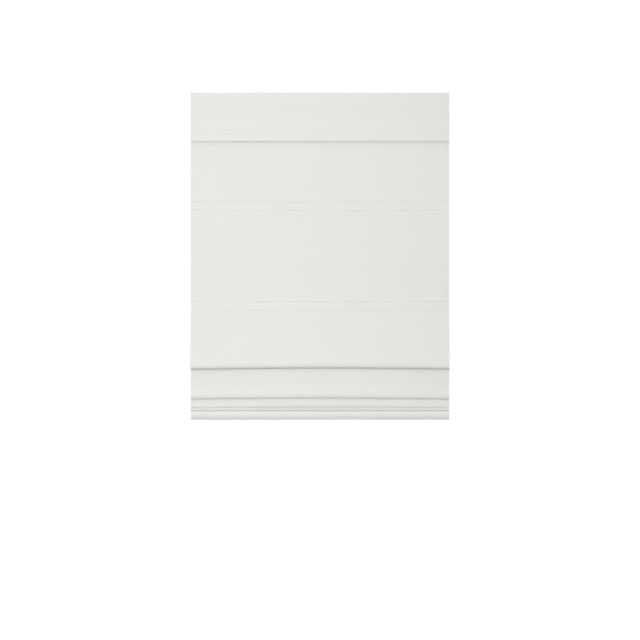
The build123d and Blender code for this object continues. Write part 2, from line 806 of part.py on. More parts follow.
def cord_guide(name, cord_x):
    """A moulded block on the rail's floor: two cheeks beside a slot, tied by the guide pin."""
    side = 1 if cord_x > 0 else -1
    guide_width = rail_depth - 2 * (rail_wall + clearance)
    with BuildPart() as guide:
        with BuildSketch(Plane(origin=(cord_x, 0, rail_floor))):
            RectangleRounded(guide_length, guide_width, guide_corner)
        extrude(amount=guide_height)
        with BuildSketch(Plane(origin=(cord_x, 0, rail_floor + guide_floor))):
            with Locations((0, cord_y)):
                Rectangle(guide_length, guide_slot)
        extrude(amount=guide_height, mode=Mode.SUBTRACT)
        pocket_front = cord_y + guide_slot / 2 + 2 * guide_floor
        pocket_back = guide_width / 2 - guide_floor
        with BuildSketch(Plane(origin=(cord_x, 0, rail_floor + guide_floor))):
            with Locations((0, (pocket_front + pocket_back) / 2)):
                RectangleRounded(
                    guide_length - 2 * guide_floor, pocket_back - pocket_front, guide_pocket_corner
                )
        extrude(amount=guide_height, mode=Mode.SUBTRACT)
        with Locations((cord_x, cord_y, rail_floor + guide_floor)):
            Hole(eyelet_radius + press, depth=2 * guide_floor)
        with BuildSketch(guide_pin_plane(cord_x, side)):
            Circle(guide_pin_radius + press)
        extrude(amount=guide_pin_length, mode=Mode.SUBTRACT)
    guide.part.label = name
    export_step(guide.part, f"parts/{name}.step")


def guide_pin_plane(cord_x, side):
    """The front end of a guide pin, looking back along it."""
    pin_start = cord_y - guide_pin_length / 2
    pin_x = cord_x - side * cord_bend
    return Plane(origin=(pin_x, pin_start, cord_z - cord_bend), z_dir=(0, 1, 0))


for name, cord_x in zip(sides, cord_xs):
    cord_guide(f"cord_guide_{name}", cord_x)

with BuildPart() as guide_pins:
    for side, cord_x in zip((-1, 1), cord_xs):
        with BuildSketch(guide_pin_plane(cord_x, side)):
            Circle(guide_pin_radius)
        extrude(amount=guide_pin_length)
guide_pins.part.label = "guide_pins"
export_step(guide_pins.part, "parts/guide_pins.step")

# Cord eyelets: flanged bushings pushed up through the rail's floor
with BuildPart() as cord_eyelets:
    for x in cord_xs:
        with BuildSketch(Plane(origin=(x, cord_y, rail_bottom))):
            Circle(eyelet_flange)
            Circle(eyelet_radius - eyelet_wall, mode=Mode.SUBTRACT)
        extrude(amount=-eyelet_flange_thickness)
        with BuildSketch(Plane(origin=(x, cord_y, rail_bottom))):
            Circle(eyelet_radius)
            Circle(eyelet_radius - eyelet_wall, mode=Mode.SUBTRACT)
        extrude(amount=eyelet_length)
cord_eyelets.part.label = "cord_eyelets"
export_step(cord_eyelets.part, "parts/cord_eyelets.step")
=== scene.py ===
# %% [markdown]
# # A cordless roman blind, partly raised
# A roman blind is one sheet of cloth that hangs from a rail. Stiff battens lie in pockets sewn
# across its back, and two cords pull them up, so that the cloth between them falls into folds.
# The rail, the battens, the spring motor and the bottom bar are exact parts, and come in as a fixed
# frame. What a plain solid can't show is made here: the cloth with its folds, hems and seams, the
# cords, every finish, the light and the camera.

import bisect
import json
import math

import bpy
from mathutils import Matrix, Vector, noise

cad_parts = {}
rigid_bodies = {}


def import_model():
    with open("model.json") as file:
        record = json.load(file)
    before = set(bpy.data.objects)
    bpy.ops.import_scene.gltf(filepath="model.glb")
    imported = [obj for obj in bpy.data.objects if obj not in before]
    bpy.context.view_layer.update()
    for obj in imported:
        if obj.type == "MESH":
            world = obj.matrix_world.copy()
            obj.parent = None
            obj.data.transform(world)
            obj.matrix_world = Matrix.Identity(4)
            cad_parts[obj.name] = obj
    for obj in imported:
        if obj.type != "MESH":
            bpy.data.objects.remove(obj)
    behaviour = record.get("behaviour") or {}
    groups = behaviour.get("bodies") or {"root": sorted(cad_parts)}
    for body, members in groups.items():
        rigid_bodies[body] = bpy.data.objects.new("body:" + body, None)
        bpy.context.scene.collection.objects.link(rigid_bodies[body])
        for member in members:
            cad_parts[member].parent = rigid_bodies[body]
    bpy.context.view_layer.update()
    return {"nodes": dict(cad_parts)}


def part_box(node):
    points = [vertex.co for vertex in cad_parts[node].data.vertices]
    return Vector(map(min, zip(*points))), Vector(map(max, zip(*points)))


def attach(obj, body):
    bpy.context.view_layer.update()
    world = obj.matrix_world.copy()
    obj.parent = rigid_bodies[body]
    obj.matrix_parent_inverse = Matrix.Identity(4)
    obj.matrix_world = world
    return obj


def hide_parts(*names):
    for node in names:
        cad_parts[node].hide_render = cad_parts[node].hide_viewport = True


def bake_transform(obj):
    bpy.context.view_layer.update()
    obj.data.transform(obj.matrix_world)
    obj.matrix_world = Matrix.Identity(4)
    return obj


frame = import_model()

# %% [markdown]
# ## Where the cloth hangs
# Nothing here is placed by eye. Each batten pocket of the frame says at which height and in which
# plane the face cloth passes it, and the boxes of the other parts give the rest. The drops of the
# three folds can't be read from a box, so they are named, in metres.

# %% Read the places that carry the cloth
MM = 0.001
cloth_thickness = 0.8 * MM
half_cloth = cloth_thickness / 2
shade_low, shade_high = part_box("shade_fabric")
valance_low, valance_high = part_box("valance")
pocket_boxes = [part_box(f"batten_pocket_{n}") for n in range(1, 6)]
pocket_tops = [high.z for low, high in pocket_boxes]
pocket_bottoms = [low.z for low, high in pocket_boxes]
pocket_planes = [low.y - half_cloth for low, high in pocket_boxes]
cloth_width = shade_high.x - shade_low.x
cloth_top = shade_high.z
cloth_top_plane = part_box("shade_tape")[0].y - half_cloth
column = pocket_planes[-1]
hem_bottom = shade_low.z + half_cloth
fold_front = shade_low.y + half_cloth
fold_drops = {"a": 786.0 * MM, "b": 871.6 * MM, "c": 898.6 * MM}
fold_radii = {"a": 9.0 * MM, "b": 4.0 * MM, "c": 3.0 * MM}
fold_gap = 1.6 * MM
print("cloth width", round(cloth_width, 4), "pocket tops", [round(z, 4) for z in pocket_tops])

# %% [markdown]
# ## The line of the cloth
# Seen from its side, hung cloth is a line. It could be drawn as a spline, but a spline wanders
# where cloth under its own weight is straight. So each stretch is given as the corners that it
# would have if it were creased, and every corner is rounded by the radius at which cloth bends.

# %% Round the corners of a line in the YZ plane
LINE_STEP = 1.0 * MM
ARC_STEP = math.radians(7)
NO_TURN = 0.001
SAME_PLACE = 1e-6
LOOK_STEP = 0.3 * MM


def rounded_line(corners):
    """Close points along a line whose corners are rounded. A corner is (y, z, radius)."""
    points = [Vector(corners[0][:2])]
    for before, corner, after in zip(corners, corners[1:], corners[2:]):
        tip, radius = Vector(corner[:2]), corner[2]
        back = (Vector(before[:2]) - tip).normalized()
        ahead = (Vector(after[:2]) - tip).normalized()
        turn = math.pi - back.angle(ahead)
        if radius == 0 or turn < NO_TURN:
            points.append(tip)
            continue
        reach = radius * math.tan(turn / 2)
        centre = tip + (back + ahead).normalized() * radius / math.cos(turn / 2)
        first, last = tip + back * reach - centre, tip + ahead * reach - centre
        steps = max(3, math.ceil(turn / ARC_STEP))
        for i in range(steps + 1):
            share = i / steps
            weight_first = math.sin((1 - share) * turn) / math.sin(turn)
            weight_last = math.sin(share * turn) / math.sin(turn)
            points.append(centre + first * weight_first + last * weight_last)
    points.append(Vector(corners[-1][:2]))
    close = [points[0]]
    for point in points[1:]:
        gap = (point - close[-1]).length
        if gap < SAME_PLACE:
            continue
        pieces = max(1, math.ceil(gap / LINE_STEP))
        start = close[-1].copy()
        close += [start.lerp(point, (i + 1) / pieces) for i in range(pieces)]
    return close


# %% Measure along a line
def distances(points):
    """How far along the line each point is."""
    run = [0.0]
    for a, b in zip(points, points[1:]):
        run.append(run[-1] + (b - a).length)
    return run


def place_at(points, run, distance):
    """The point at this distance along the line, and the way the cloth's face looks there."""
    def point(s):
        s = min(max(s, 0.0), run[-1])
        i = min(bisect.bisect_right(run, s), len(run) - 1) - 1
        return points[i].lerp(points[i + 1], (s - run[i]) / (run[i + 1] - run[i]))

    ahead = (point(distance + LOOK_STEP) - point(distance - LOOK_STEP)).normalized()
    return point(distance), Vector((ahead[1], -ahead[0]))


# %% [markdown]
# ## A sheet with a real thickness
# A plane with a Solidify modifier would give thickness too. Here the two faces are built at once,
# because seams press the cloth in on both sides, a side hem is thicker on the back only, and the
# rows have to be close at a seam or a bend and may be wide apart where the cloth is flat.

# %% Choose the rows and columns of a sheet
WIDE_ROW = 6.0 * MM
WIDE_COLUMN = 6.2 * MM
ROW_TURN = math.radians(9)
CLOSEST_ROWS = 0.2 * MM
SEAM_ROWS = [0.0, 0.5, 1.0, 1.6, 2.4, 3.4, 4.8]
side_hem = 19.0 * MM
side_hem_step = 0.6 * MM


def row_distances(points, run, seams):
    """Where the sheet has rows: close together at bends and seams."""
    rows, last, turned = [0.0, run[-1]], 0.0, 0.0
    for i in range(1, len(points) - 1):
        turned += (points[i] - points[i - 1]).angle(points[i + 1] - points[i])
        if run[i] - last >= WIDE_ROW or turned >= ROW_TURN:
            rows.append(run[i])
            last, turned = run[i], 0.0
    for seam in seams:
        for offset in SEAM_ROWS:
            rows += [seam - offset * MM, seam + offset * MM]
    kept = []
    for row in sorted(r for r in rows if 0 <= r <= run[-1]):
        if not kept or row - kept[-1] > CLOSEST_ROWS:
            kept.append(row)
    kept[-1] = run[-1]
    return kept


def columns_across(width, hem):
    """X of each column, with two at the inner edge of each side hem."""
    count = round(width / WIDE_COLUMN)
    xs = [-width / 2 + width * i / count for i in range(count + 1)]
    if hem:
        edge = width / 2 - side_hem
        xs += [-edge, edge, -edge + side_hem_step, edge - side_hem_step]
    return sorted(xs)


# %% [markdown]
# ## How cloth departs from a plane
# Three small things make it read as cloth. A seam pulls it in and leaves a low ridge on each side,
# uneven from stitch to stitch. Between seams it has long shallow waves of about half a millimetre.
# And a fold hangs a little lower at its ends, where nothing but the batten's tip holds it.

# %% Shape functions
seam_depth = 0.8 * MM
seam_width = 1.6 * MM
ridge_height = 0.35 * MM
ridge_width = 3.2 * MM
ridge_offset = 4.2 * MM
wave_height = 0.9 * MM
calm_length = 55.0 * MM
uneven_pull = 0.55
fine_share = 0.35
# How often each noise changes in a metre across and in a metre along, and its own layer.
PULL_NOISE = (70, 5, 3.0)
BROAD_NOISE = (7.0, 2.2, 11.0)
FINE_NOISE = (19.0, 6.0, 5.0)


def smooth(share):
    """From 0 to 1, with no corner at either end."""
    share = min(max(share, 0.0), 1.0)
    return share * share * (3 - 2 * share)


def uneven(x, along, scales):
    """Smooth noise at this place, between -1 and 1."""
    return noise.noise(Vector((x * scales[0], along * scales[1], scales[2])))


def seam_relief(offset, x, cut):
    """How far a seam moves the cloth, at this offset from its line."""
    pull = 1 + uneven_pull * uneven(x, cut, PULL_NOISE)
    groove = -seam_depth * pull * math.exp(-((offset / seam_width) ** 2))
    ridge = ridge_height * pull * math.exp(-(((abs(offset) - ridge_offset) / ridge_width) ** 2))
    return groove + ridge


def wave_relief(x, cut):
    """Long shallow waves, mostly up and down the cloth."""
    return wave_height * (uneven(x, cut, BROAD_NOISE) + fine_share * uneven(x, cut, FINE_NOISE))


# %% Put a mesh in the scene
def new_mesh(name, vertices, faces):
    """A mesh with these vertices and faces."""
    mesh = bpy.data.meshes.new(name)
    mesh.from_pydata(vertices, [], faces)
    return mesh


def new_piece(name, data):
    """An object in the scene that shows this mesh, curve, lamp or camera."""
    piece = bpy.data.objects.new(name, data)
    bpy.context.scene.collection.objects.link(piece)
    return piece


# %% Faces of a sheet
def sheet_faces(across, down):
    """The front, the back and the four edges of a sheet with this many columns and rows."""
    size = across * down
    faces = []
    for r in range(down - 1):
        for c in range(across - 1):
            a, b = r * across + c, r * across + c + 1
            d, e = a + across, b + across
            faces.append((a, d, e, b))
            faces.append((size + a, size + b, size + e, size + d))
    for r in range(down - 1):
        left, right = r * across, r * across + across - 1
        faces.append((left, size + left, size + left + across, left + across))
        faces.append((right, right + across, size + right + across, size + right))
    for c in range(across - 1):
        top, low = c, (down - 1) * across + c
        faces.append((top, top + 1, size + top + 1, size + top))
        faces.append((low, size + low, size + low + 1, low + 1))
    return faces


# %% Build one sheet
SHARP_ANGLE = math.radians(55)
side_hem_share = 0.55


def sheet_mesh(name, corners, width, thickness, seams=(), calm_at=(), cut_start=0.0, hem=True,
               waves=1.0, shift=None):
    """A closed mesh of cloth along the line of these corners, and the line's length.

    seams and calm_at are distances along the line, and cut_start is where on the roll it starts.
    waves scales the long waves, and shift(share, x) moves a point at this share of the line.
    """
    points = rounded_line(corners)
    run = distances(points)
    rows = row_distances(points, run, seams)
    xs = columns_across(width, hem)
    front, back, uvs = [], [], []
    for s in rows:
        place, face = place_at(points, run, s)
        normal = Vector((0, face[0], face[1]))
        calm = min([1.0] + [smooth(abs(s - c) / calm_length) for c in calm_at])
        cut = cut_start + s
        for x in xs:
            out = sum(seam_relief(s - seam, x, cut_start + seam) for seam in seams)
            out += waves * calm * wave_relief(x, cut)
            middle = Vector((x, place[0] + face[0] * out, place[1] + face[1] * out))
            if shift:
                middle += shift(s / run[-1], x)
            turned_over = hem and abs(x) > width / 2 - side_hem + side_hem_step / 2
            extra = thickness * side_hem_share * calm if turned_over else 0.0
            front.append(middle + normal * thickness / 2)
            back.append(middle - normal * (thickness / 2 + extra))
            uvs.append((x, -cut))
    faces = sheet_faces(len(xs), len(rows))
    mesh = new_mesh(name, front + back, faces)
    layer = mesh.uv_layers.new(name="cut")
    for loop in mesh.loops:
        layer.data[loop.index].uv = uvs[loop.vertex_index % len(uvs)]
    mesh.shade_smooth()
    mesh.set_sharp_from_angle(angle=SHARP_ANGLE)
    print(name, "cut", round(width, 4), "x", round(run[-1], 4), "faces", len(faces))
    return new_piece(name, mesh), run[-1]


# %% [markdown]
# ## The two flat panels
# The first panel hangs from the rail to the first batten, the second from there to the next. Each
# sheet starts at the top seam of its upper pocket, so that a joint between sheets always lies in a
# seam. When the blind is raised all the way, a panel gathers up in front of the batten below it.

# %% Hang the panels
panel_seam_inset = 0.8 * MM
# Between two planes the cloth leans. It bends so little there that the radius is 0.3 metres.
lean_start = -46 * MM
lean_run = 10.0 * MM
lean_bend = 0.3
flat_cuts = {}


def seam_pair(number, start):
    """The two seams of a pocket, as distances from the height at which the line starts."""
    return [start - (pocket_tops[number] - panel_seam_inset),
            start - (pocket_bottoms[number] + panel_seam_inset)]


def cloth_piece(name, corners, seams, calm_at, shift=None):
    """One length of the face cloth, cut from the same roll as the ones before it."""
    piece, length = sheet_mesh(name, corners, cloth_width, cloth_thickness, seams, calm_at,
                               sum(flat_cuts.values()), shift=shift)
    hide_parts("shade_fabric")
    flat_cuts[name] = length
    return piece


panel_1_length = cloth_top - pocket_tops[0]
panel_1 = cloth_piece(
    "shade_panel_1",
    [(cloth_top_plane, cloth_top, 0), (cloth_top_plane, lean_start, lean_bend),
     (pocket_planes[0], pocket_tops[0] + lean_run, lean_bend),
     (pocket_planes[0], pocket_tops[0], 0)],
    [panel_1_length + panel_seam_inset], [0.0, panel_1_length],
)
panel_2_length = pocket_tops[0] - pocket_tops[1]
panel_2 = cloth_piece(
    "shade_panel_2",
    [(pocket_planes[0], pocket_tops[0], 0),
     (pocket_planes[0], pocket_bottoms[0] - lean_run, lean_bend),
     (column, pocket_tops[1] + lean_run, lean_bend), (column, pocket_tops[1], 0)],
    seam_pair(0, pocket_tops[0]) + [panel_2_length + panel_seam_inset],
    [0.0, pocket_tops[0] - pocket_bottoms[0], panel_2_length],
)
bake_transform(panel_1)
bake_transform(panel_2)

# %% [markdown]
# ## The three folds
# Below the second batten the blind is raised: battens three, four and five lie close under each
# other behind the cloth, and the cloth between them hangs in front as folds A, B and C. A fold has
# a front leg, which hangs from the batten above it, and a back leg, which climbs to the next one.
# Fold A leaves the cloth's plane right under its batten, so that the next battens can come up
# behind it. The front leg rides on the upper batten.

# %% Place the folds
fold_bow = {"a": 3.6 * MM, "b": 3.0 * MM, "c": 2.4 * MM}
fold_rise = {"a": 9.0 * MM, "b": 9.0 * MM, "c": 7.0 * MM}
fold_tuck = {"a": 5.0 * MM, "b": 2.8 * MM, "c": 2.3 * MM}
climb_run = {"a": 57 * MM, "b": 44 * MM, "c": 30 * MM}
climb_bend = 10 * MM
over_turn = {"a": 3.0 * MM, "b": 1.5 * MM, "c": 1.5 * MM}
pocket_height = pocket_tops[0] - pocket_bottoms[0]
backs, fronts = {}, {}
behind = column - cloth_thickness
for key in ("c", "b", "a"):
    backs[key] = behind - fold_gap
    fronts[key] = backs[key] - 2 * fold_radii[key]
    behind = fronts[key]
print("fold A's front", round(fronts["a"], 4), "in the frame", round(fold_front, 4))

# %% Draw a fold's two legs
# The loop over a pocket starts this many turns below its top.
OVER_DROP = 6
# Two corners with a radius just under half the way between them make a half circle.
HALF_ROUND = 0.999
# A bowed edge keeps its height where the square of its share of the half width is this.
BOW_LEVEL = 0.2


def bowed(drop, rising):
    """The ends of a fold hang lower: nothing at its seam, all of it at its bottom."""
    def shift(share, x):
        reach = smooth(1 - share if rising else share)
        side = abs(2 * x / cloth_width)
        return Vector((0, 0, -drop * reach * (side ** 2 - BOW_LEVEL)))
    return shift


def front_leg(key, upper, entry):
    """From the top seam of the upper pocket, out over the front, to the fold's bottom."""
    bottom = -fold_drops[key] + half_cloth
    middle = (fronts[key] + backs[key]) / 2
    corners = [(column, pocket_tops[upper], 0), *entry,
               (fronts[key], bottom + fold_rise[key], 2 * fold_rise[key]),
               (fronts[key] + fold_tuck[key], bottom, fold_tuck[key]), (middle, bottom, 0)]
    seams = seam_pair(upper, pocket_tops[upper])
    return cloth_piece(f"fold_{key}_front", corners, seams, [0.0, pocket_height],
                       bowed(fold_bow[key], rising=False))


def back_leg(key, lower):
    """From the bottom up behind the front leg, and over the lower pocket to its top seam."""
    bottom = -fold_drops[key] + half_cloth
    middle = (fronts[key] + backs[key]) / 2
    turn = over_turn[key]
    over = pocket_tops[lower] + turn
    loop = column - 2 * turn
    corners = [
        (middle, bottom, 0), (backs[key], bottom, fold_radii[key]),
        (backs[key], over - climb_run[key], climb_bend),
        (loop, over - OVER_DROP * turn, climb_bend),
        (loop, over, turn * HALF_ROUND), (column, over, turn * HALF_ROUND),
        (column, pocket_tops[lower], 0),
    ]
    length = distances(rounded_line(corners))[-1]
    return cloth_piece(f"fold_{key}_back", corners, [length + panel_seam_inset], [length],
                       bowed(fold_bow[key], rising=True))


# %% Hang the folds
flare = {"a": 6.0 * MM, "b": 6.6 * MM, "c": 4.2 * MM}
flare_height = {"b": 31.0 * MM, "c": 22.0 * MM}
flare_bend = {"b": 60.0 * MM, "c": 30.0 * MM}
entry_bend = 20 * MM
shelf_reach = 5.2 * MM
shelf_drop = 1.5 * MM
shelf_bends = (0.9 * MM, 1.8 * MM)
fold_a_flat = 3.0 * MM
fold_a_slope = 122.0 * MM
fold_a_bend = 60.0 * MM


def stacked_entry(key, upper):
    """The way out between two pockets that lie close under each other, down to the flare."""
    start = pocket_bottoms[upper]
    upright = fronts[key] + flare[key]
    return [(column, start - half_cloth, shelf_bends[0]),
            (column - shelf_reach, start - shelf_drop, shelf_bends[1]),
            (upright, start - climb_run[key], entry_bend),
            (upright, -fold_drops[key] + flare_height[key], flare_bend[key])]


entry_a = [(column, pocket_bottoms[1] - fold_a_flat, entry_bend),
           (fronts["a"] + flare["a"], pocket_bottoms[1] - fold_a_slope, fold_a_bend)]
folds = [("a", 1, entry_a), ("b", 2, stacked_entry("b", 2)), ("c", 3, stacked_entry("c", 3))]
fold_bodies = ["headrail", "batten_1", "batten_2", "batten_3", "batten_4", "hem"]
fold_pieces = []
for key, upper, entry in folds:
    above, below = fold_bodies[upper + 1], fold_bodies[upper + 2]
    leg = front_leg(key, upper, entry)
    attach(leg, above)
    climb = back_leg(key, upper + 1)
    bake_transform(climb)
    fold_pieces += [leg, climb]

# %% [markdown]
# ## The half section and its hem
# Below the last batten hangs half a section, which ends in a sleeve for the bottom bar. The cloth
# goes round under the bar, comes up behind it and is sewn through to the front.

# %% Hang the tail
hem_height = 24.0 * MM
hem_depth = 5.8 * MM
hem_play = 0.15 * MM
hem_turn = hem_depth / 2 * 0.9
overhang = 7.2 * MM
sleeve_swell = 2.8 * MM
hem_back = column + hem_depth
hem_seam = shade_low.z + hem_height
tail_back = column + cloth_thickness + hem_play
# Down the front over the seam, down the bar's front, round under the bar and up behind it.
tail_corners = [
    (column, pocket_tops[4], 0), (column, hem_seam + 12.5 * MM, 5 * MM),
    (column - overhang, hem_seam + 4.4 * MM, 1.2 * MM),
    (column + half_cloth / 2, hem_seam - 0.8 * MM, 0.6 * MM),
    (column - sleeve_swell, hem_seam - 5.0 * MM, 2.4 * MM),
    (column - sleeve_swell - 0.8 * MM, hem_bottom + 11 * MM, 6 * MM),
    (column - 0.2 * MM, hem_bottom + 2.6 * MM, 3 * MM),
    (column + 1.2 * MM, hem_bottom, 2 * MM), (hem_back, hem_bottom, hem_turn),
    (hem_back, hem_seam - 2 * MM, 2.0 * MM), (tail_back, hem_seam, 1.5 * MM),
    (tail_back, hem_seam + 5 * MM, 0),
]
tail = cloth_piece("shade_tail", tail_corners, seam_pair(4, pocket_tops[4]),
                   [0.0, pocket_height, pocket_tops[4] - hem_seam])
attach(tail, "hem")

# %% [markdown]
# ## The valance
# A short second cloth hangs in front of the rail from its own strip of tape and hides it. It starts
# close to the shade cloth, stands off it lower down, and its bottom is turned up behind and sewn
# with one line of stitches that shows on the face. A few shallow dents near its top come from the
# tape behind it.

# %% Hang the valance
valance_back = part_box("valance_tape")[0].y - half_cloth
valance_front = valance_low.y + half_cloth
valance_bottom = valance_low.z + half_cloth
valance_drop = -valance_low.z
valance_hem = 30.0 * MM
valance_turn = 0.8 * MM
valance_round = valance_turn * 0.99
valance_behind = valance_front + 2 * valance_turn
valance_leaves = -30.4 * MM
valance_upright = -80 * MM
valance_bend = 60 * MM
valance_seam_shift = 0.4 * MM
valance_bow = 1.2 * MM
# Its bottom is bowed as a fold's is, and all of the bow is there before the cloth's end.
VALANCE_LEVEL = 0.35
BOW_SPEED = 1.3
# Where on its roll this cloth is cut, in metres.
VALANCE_CUT = 3.0
# A dent: its x, z and size in metres, and its depth in millimetres.
dents = [(-0.349, -0.015, 0.010, 0.7), (0.342, -0.013, 0.012, 0.6),
         (-0.052, -0.018, 0.026, 0.35)]
DENT_STRETCH = 1.6


def valance_shape(share, x):
    """Dents near the top, and a bottom edge that hangs a little lower at its ends."""
    drop = share * (valance_drop + valance_hem)
    dent = 0.0
    for dent_x, dent_z, size, depth in dents:
        away = math.hypot(x - dent_x, DENT_STRETCH * (drop + dent_z)) / size
        dent += depth * MM * math.exp(-away * away)
    side = abs(2 * x / cloth_width)
    bow = valance_bow * smooth(share * BOW_SPEED) * (side ** 2 - VALANCE_LEVEL)
    return Vector((0, dent, -bow))


valance_corners = [
    (valance_back, valance_high.z, 0), (valance_back, valance_leaves, valance_bend),
    (valance_front, valance_upright, valance_bend),
    (valance_front, valance_bottom, valance_round),
    (valance_behind, valance_bottom, valance_round),
    (valance_behind, valance_low.z + valance_hem, 0),
]
valance_run = distances(rounded_line(valance_corners))[-1]
front_seam = valance_run - 2 * valance_hem - valance_seam_shift
valance, valance_length = sheet_mesh(
    "valance_cloth", valance_corners, cloth_width, cloth_thickness,
    [front_seam], [0.0, front_seam], VALANCE_CUT, waves=0.8, shift=valance_shape,
)
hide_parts("valance")
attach(valance, "headrail")

# %% [markdown]
# ## Batten pockets
# Each batten lies in a strip sewn across the back of the cloth. The strip is flat at its two seams,
# stands off over the batten, and is pinched shut at both ends so that the batten can't slide out.

# %% Sew the pockets
pocket_sheet = 0.5 * MM
pocket_margin = 1.6 * MM
pocket_step = 0.8 * MM
pinch_length = 4.0 * MM
seam_bend, step_bend = 0.6 * MM, 1.2 * MM
POCKET_CUT = 5.0
SEAM_SHARE = 0.1


def pinched(depth, width):
    """Draws a strip that stands off this deep in to the cloth at both ends."""
    def shift(share, x):
        stands_off = depth * (1 - smooth((width / 2 - abs(x)) / pinch_length))
        return Vector((0, -stands_off if SEAM_SHARE < share < 1 - SEAM_SHARE else 0.0, 0))
    return shift


for number, (low, high) in enumerate(pocket_boxes, start=1):
    near, far = low.y + pocket_sheet / 2, high.y - pocket_sheet / 2
    upper, lower = high.z - pocket_margin, low.z + pocket_margin
    pocket_width = high.x - low.x
    corners = [
        (near, high.z, 0), (near, upper, seam_bend), (far, upper - pocket_step, step_bend),
        (far, lower + pocket_step, step_bend), (near, lower, seam_bend), (near, low.z, 0),
    ]
    pocket, pocket_length = sheet_mesh(
        f"pocket_strip_{number}", corners, pocket_width, pocket_sheet, [], [0.0],
        POCKET_CUT + number, hem=False, waves=0.25, shift=pinched(far - near, pocket_width),
    )
    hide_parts(f"batten_pocket_{number}")
    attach(pocket, fold_bodies[number])

# %% [markdown]
# ## Stitches
# A seam is a row of short threads, each sunk between two needle holes. They are real geometry: one
# small tapered thread for each stitch, all of a seam in one mesh. From the front they read as the
# fine dark lines across the blind.

# %% Faces of a tube
def tube_faces(rings, sides, first=0, flipped=False):
    """The faces between rings of vertices from this first one on, with both ends shut."""
    faces = []
    for ring in range(rings - 1):
        for k in range(sides):
            a, b = first + ring * sides + k, first + ring * sides + (k + 1) % sides
            faces.append((a, b, b + sides, a + sides))
    last = first + (rings - 1) * sides
    faces.append(tuple(first + k for k in reversed(range(sides))))
    faces.append(tuple(last + k for k in range(sides)))
    return [face[::-1] for face in faces] if flipped else faces


# %% Sew the seams
stitch_pitch = 3.2 * MM
stitch_length = 2.7 * MM
stitch_margin = 8 * MM
stitch_tilt = 0.12 * MM
stitch_sink = 0.3 * MM
stitch_bed = seam_depth * 0.8
thread_radius = 0.22 * MM
thread_squash = 0.8
STITCH_SIDES = 5
STITCH_NOISE = (90, 40, 8.0)
# Shares of the stitch's length, with its thickness there.
STITCH_PROFILE = [(-0.5, 0.25), (-0.25, 0.95), (0.25, 0.95), (0.5, 0.25)]


def stitch_rows(name, lines, width, body):
    """Rows of stitches. A line is (y, z, sign), where sign says which side the thread shows on."""
    vertices, faces = [], []
    count = int((width - stitch_margin) / stitch_pitch)
    for y, z, sign in lines:
        for i in range(count + 1):
            x = (i - count / 2) * stitch_pitch
            tilt = stitch_tilt * uneven(x, z, STITCH_NOISE)
            faces += tube_faces(len(STITCH_PROFILE), STITCH_SIDES, len(vertices), sign < 0)
            for along, thick in STITCH_PROFILE:
                radius, sink = thread_radius * thick, (1 - thick) * stitch_sink
                for k in range(STITCH_SIDES):
                    angle = 2 * math.pi * k / STITCH_SIDES
                    vertices.append((
                        x + along * stitch_length,
                        y + sign * (radius * math.cos(angle) * thread_squash - sink),
                        z + 2 * along * tilt + radius * math.sin(angle),
                    ))
    rows = new_piece(name, new_mesh(name, vertices, faces))
    rows.data.shade_smooth()
    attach(rows, body)
    print(name, len(lines), "rows of", count + 1, "stitches")
    return rows


seam_rows = []
for number, (low, high) in enumerate(pocket_boxes, start=1):
    face_y, back_y = low.y - cloth_thickness + stitch_bed, low.y + pocket_sheet
    upper, lower = high.z - panel_seam_inset, low.z + panel_seam_inset
    lines = [(face_y, upper, -1), (face_y, lower, -1), (back_y, upper, 1), (back_y, lower, 1)]
    seam_rows.append(stitch_rows(f"pocket_seams_{number}", lines, high.x - low.x,
                                 fold_bodies[number]))
hem_seam_z = hem_seam - 0.7 * MM
seam_rows.append(stitch_rows(
    "hem_seam",
    [(column - half_cloth, hem_seam_z, -1), (tail_back + half_cloth, hem_seam_z, 1)],
    cloth_width, "hem",
))
valance_seam_z = valance_low.z + valance_hem - 1.6 * MM
seam_rows.append(stitch_rows(
    "valance_seam",
    [(valance_front - half_cloth + stitch_bed, valance_seam_z, -1),
     (valance_behind + half_cloth, valance_seam_z, 1)],
    cloth_width, "headrail",
))

# %% [markdown]
# ## Lift cords
# Two thin braided cords are wound on the motor's spools, run along the rail, turn down over a steel
# pin and pass through the rings to a knot. Each length between two rings is its own tube. They
# aren't free cords: both ends are held, so their route is given by the spool, the pin and the
# rings.

# %% Make the cords
cord_radius = 0.7 * MM
# Where the cords hang behind the cloth, and at which height they run along the rail.
cord_y = -9.0 * MM
cord_height = -20.8 * MM
CORD_SIDES = 10
ring_step = 3 * MM
rail_floor_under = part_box("headrail_channel")[0].z


def straight_cord(name, x, high, low):
    """An upright tube, with rings close enough together to bend between two bodies."""
    steps = max(2, math.ceil((high - low) / ring_step))
    vertices = []
    for i in range(steps + 1):
        z = high + (low - high) * i / steps
        for k in range(CORD_SIDES):
            angle = 2 * math.pi * k / CORD_SIDES
            vertices.append((x + cord_radius * math.cos(angle),
                             cord_y + cord_radius * math.sin(angle), z))
    mesh = new_mesh(name, vertices, tube_faces(steps + 1, CORD_SIDES, flipped=True))
    mesh.shade_smooth()
    mesh.set_sharp_from_angle(angle=SHARP_ANGLE)
    return new_piece(name, mesh)


